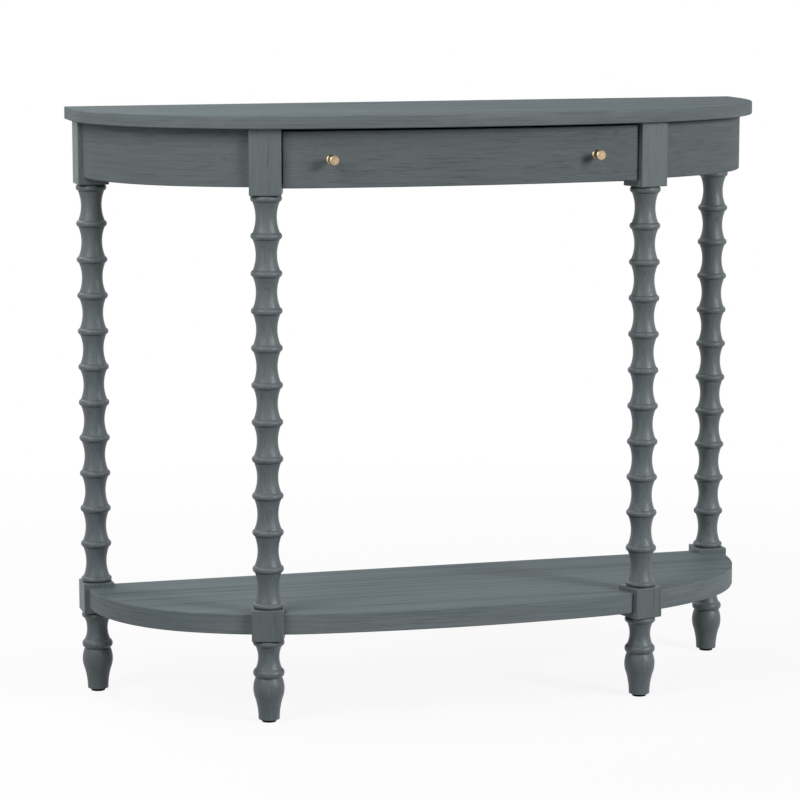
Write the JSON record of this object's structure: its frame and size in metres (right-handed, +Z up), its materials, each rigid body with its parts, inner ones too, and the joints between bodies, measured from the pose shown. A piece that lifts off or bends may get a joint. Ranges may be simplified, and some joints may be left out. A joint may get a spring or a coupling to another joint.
{
  "type": "demilune table",
  "caption": "Bow-fronted demilune console table in slate grey stained wood with bobbin-turned legs, a small drawer with brass knobs and a low shelf.",
  "frame": {"origin": "on the floor under the middle of the table's bounding box", "axes": "+Z up, +X along the straight back to the right as seen from the front, +Y to the wall, so the bow and the drawer face -Y"},
  "size_m": [0.91, 0.2935, 0.762],
  "materials": {
    "slate_wood": "satin stained open grain",
    "inner_wood": "raw",
    "dowel_wood": "raw",
    "knob_brass": "satin antique",
    "screw_steel": "zinc",
    "glide_plastic": "matte"
  },
  "bodies": {
    "frame": {"top_panel": "slate_wood", "leg_front_left": "slate_wood", "leg_front_right": "slate_wood", "leg_back_left": "slate_wood", "leg_back_right": "slate_wood", "apron_left": "slate_wood", "apron_right": "slate_wood", "back_rail": "slate_wood", "shelf_panel": "slate_wood", "foot_glide_front_left": "glide_plastic", "foot_glide_front_right": "glide_plastic", "foot_glide_back_left": "glide_plastic", "foot_glide_back_right": "glide_plastic", "front_rail_lower": "inner_wood", "front_rail_upper": "inner_wood", "drawer_runner_left": "inner_wood", "drawer_runner_right": "inner_wood", "drawer_guide_left": "inner_wood", "drawer_guide_right": "inner_wood", "drawer_kicker_left": "inner_wood", "drawer_kicker_right": "inner_wood", "drawer_stop_left": "inner_wood", "drawer_stop_right": "inner_wood", "top_block_left": "inner_wood", "top_block_right": "inner_wood", "top_cleat_back": "inner_wood", "apron_dowels": "dowel_wood", "back_rail_dowels": "dowel_wood", "front_rail_dowels": "dowel_wood", "shelf_dowels": "dowel_wood", "top_screws": "screw_steel"},
    "drawer": {"drawer_front": "slate_wood", "drawer_box_front": "inner_wood", "drawer_side_left": "inner_wood", "drawer_side_right": "inner_wood", "drawer_back": "inner_wood", "drawer_bottom": "inner_wood", "knob_left": "knob_brass", "knob_right": "knob_brass", "knob_screws": "screw_steel", "drawer_front_screws": "screw_steel"}
  },
  "joints": [
    {"name": "drawer_slide", "type": "slide", "parent": "frame", "child": "drawer", "axis": [0, -1, 0], "range_m": [0, 0.15]}
  ]
}
